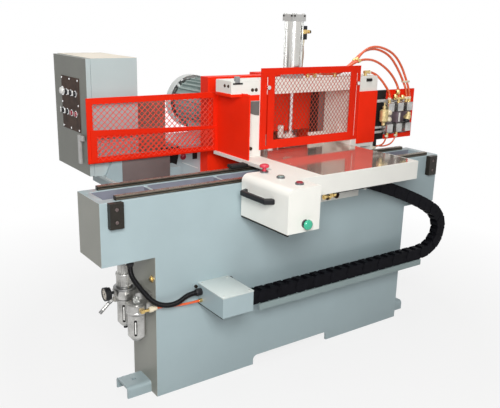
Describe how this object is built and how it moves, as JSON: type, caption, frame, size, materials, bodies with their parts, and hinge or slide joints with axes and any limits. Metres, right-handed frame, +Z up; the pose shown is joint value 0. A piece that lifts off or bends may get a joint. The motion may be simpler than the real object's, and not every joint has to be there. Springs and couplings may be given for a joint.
{
  "type": "finger joint machine",
  "caption": "Floor-standing finger joint machine: a clamping carriage slides on a bed past a guarded saw and finger cutter, with a chain-fed control box and a switch cabinet.",
  "frame": {"origin": "on the floor, midway between the two bolt holes of the bed's feet", "axes": "+X along the bed to the operator's right, +Y from the operator to the back, +Z up"},
  "size_m": [1.87, 1.366, 1.504],
  "materials": {
    "gray_paint": "satin enamel",
    "red_paint": "gloss enamel",
    "white_paint": "gloss enamel",
    "table_steel": "polished",
    "ground_steel": "ground",
    "chrome": "polished",
    "cast_aluminium": "cast, satin",
    "cast_iron": "painted",
    "brass": "satin",
    "black_plastic": "matte",
    "black_metal": "black oxide",
    "conduit_black": "matte",
    "hose_orange": "glossy",
    "panel_brown": "satin",
    "lamp_lens": "glossy",
    "switchgear_gray": "matte",
    "red_button": "glossy",
    "green_button": "glossy"
  },
  "bodies": {
    "base": {"pedestal": "gray_paint", "bed_beam": "gray_paint", "guide_rails": "ground_steel", "end_stops": "black_metal", "chain_tray": "gray_paint", "junction_box": "gray_paint", "conduit_glands": "black_plastic", "conduit": "conduit_black", "air_tube": "hose_orange", "filter_regulator": "cast_aluminium", "lubricator": "cast_aluminium", "frl_bowls": "cast_aluminium", "pressure_gauge": "black_plastic", "air_fittings": "brass", "chain_lower_links": "black_plastic", "rear_stand": "gray_paint", "cabinet_body": "gray_paint", "switchgear": "switchgear_gray", "cutter_hood": "red_paint", "saw_motor": "cast_aluminium", "motor_cowl": "cast_aluminium", "cutter_motor": "cast_iron"},
    "carriage": {"carriage_frame": "white_paint", "table_plate": "table_steel", "bearing_blocks": "ground_steel", "control_box": "white_paint", "bow_handle": "black_plastic", "portal_frame": "white_paint", "left_guard_frame": "red_paint", "left_guard_mesh": "red_paint", "right_panels": "red_paint", "valve_panel": "cast_aluminium", "valve_block": "cast_aluminium", "valve_fittings": "brass", "clamp_cylinder": "cast_aluminium", "side_cylinder": "cast_aluminium", "air_hoses": "hose_orange", "chain_upper_links": "black_plastic", "guard_bolts": "ground_steel"},
    "chain_bend": {"chain_bend_links": "black_plastic"},
    "front_guard": {"front_guard_frame": "red_paint", "front_guard_mesh": "red_paint"},
    "clamp": {"clamp_rod": "chrome", "clamp_foot": "white_paint"},
    "pusher": {"side_pusher": "chrome"},
    "saw": {"saw_shaft": "ground_steel", "saw_blade": "ground_steel"},
    "cutter": {"cutter_spindle": "ground_steel", "finger_cutters": "ground_steel"},
    "door": {"cabinet_door": "gray_paint", "control_plate": "panel_brown", "panel_lamps": "lamp_lens"},
    "latch": {"door_handle": "chrome"},
    "panel_a": {"panel_button_a": "green_button"},
    "panel_b": {"panel_button_b": "red_button"},
    "regulator": {"regulator_knob": "cast_aluminium"},
    "estop": {"estop_button": "red_button"},
    "start": {"start_button": "green_button"},
    "stop": {"stop_button": "red_button"},
    "cycle": {"cycle_button": "green_button"}
  },
  "joints": [
    {"name": "carriage_slide", "type": "slide", "parent": "base", "child": "carriage", "axis": [1, 0, 0], "range_m": [-0.51, 0.285], "deforming": ["chain_lower_links", "chain_upper_links"]},
    {"name": "chain_bend_slide", "type": "slide", "parent": "base", "child": "chain_bend", "axis": [1, 0, 0], "range_m": [-0.255, 0.1425], "deforming": ["chain_lower_links", "chain_upper_links"]},
    {"name": "front_guard_slide", "type": "slide", "parent": "carriage", "child": "front_guard", "axis": [0, 0, 1], "range_m": [-0.02, 0.24]},
    {"name": "clamp_slide", "type": "slide", "parent": "carriage", "child": "clamp", "axis": [0, 0, 1], "range_m": [-0.042, 0.11]},
    {"name": "pusher_slide", "type": "slide", "parent": "carriage", "child": "pusher", "axis": [-1, 0, 0], "range_m": [0, 0.075]},
    {"name": "saw_spin", "type": "hinge", "parent": "base", "child": "saw", "pos_m": [0.046, 0.429, 1.04], "axis": [0, 1, 0], "continuous": true},
    {"name": "cutter_spin", "type": "hinge", "parent": "base", "child": "cutter", "pos_m": [0.385, 0.497, 0.9], "axis": [0, 0, 1], "continuous": true},
    {"name": "door_hinge", "type": "hinge", "parent": "base", "child": "door", "pos_m": [-0.721, 0.764, 1.06], "axis": [0, 0, -1], "range_deg": [0, 110]},
    {"name": "latch_turn", "type": "hinge", "parent": "door", "child": "latch", "pos_m": [-0.747, 0.453, 0.975], "axis": [1, 0, 0], "range_deg": [0, 90]},
    {"name": "panel_a_press", "type": "slide", "parent": "door", "child": "panel_a", "axis": [1, 0, 0], "range_m": [0, 0.004], "stiffness_N_per_m": 600, "springref_m": -0.004},
    {"name": "panel_b_press", "type": "slide", "parent": "door", "child": "panel_b", "axis": [1, 0, 0], "range_m": [0, 0.004], "stiffness_N_per_m": 600, "springref_m": -0.004},
    {"name": "regulator_turn", "type": "hinge", "parent": "base", "child": "regulator", "pos_m": [-0.755, 0.037, 0.52], "axis": [0, 0, 1], "range_deg": [-170, 170]},
    {"name": "estop_press", "type": "slide", "parent": "carriage", "child": "estop", "axis": [0, 0, -1], "range_m": [0, 0.006], "stiffness_N_per_m": 600, "springref_m": -0.004},
    {"name": "start_press", "type": "slide", "parent": "carriage", "child": "start", "axis": [0, 0, -1], "range_m": [0, 0.004], "stiffness_N_per_m": 600, "springref_m": -0.004},
    {"name": "stop_press", "type": "slide", "parent": "carriage", "child": "stop", "axis": [0, 0, -1], "range_m": [0, 0.004], "stiffness_N_per_m": 600, "springref_m": -0.004},
    {"name": "cycle_press", "type": "slide", "parent": "carriage", "child": "cycle", "axis": [0, 1, 0], "range_m": [0, 0.006], "stiffness_N_per_m": 600, "springref_m": -0.004}
  ],
  "couplings": [
    {"joint": "chain_bend_slide", "follows": "carriage_slide", "ratio": 0.5}
  ]
}
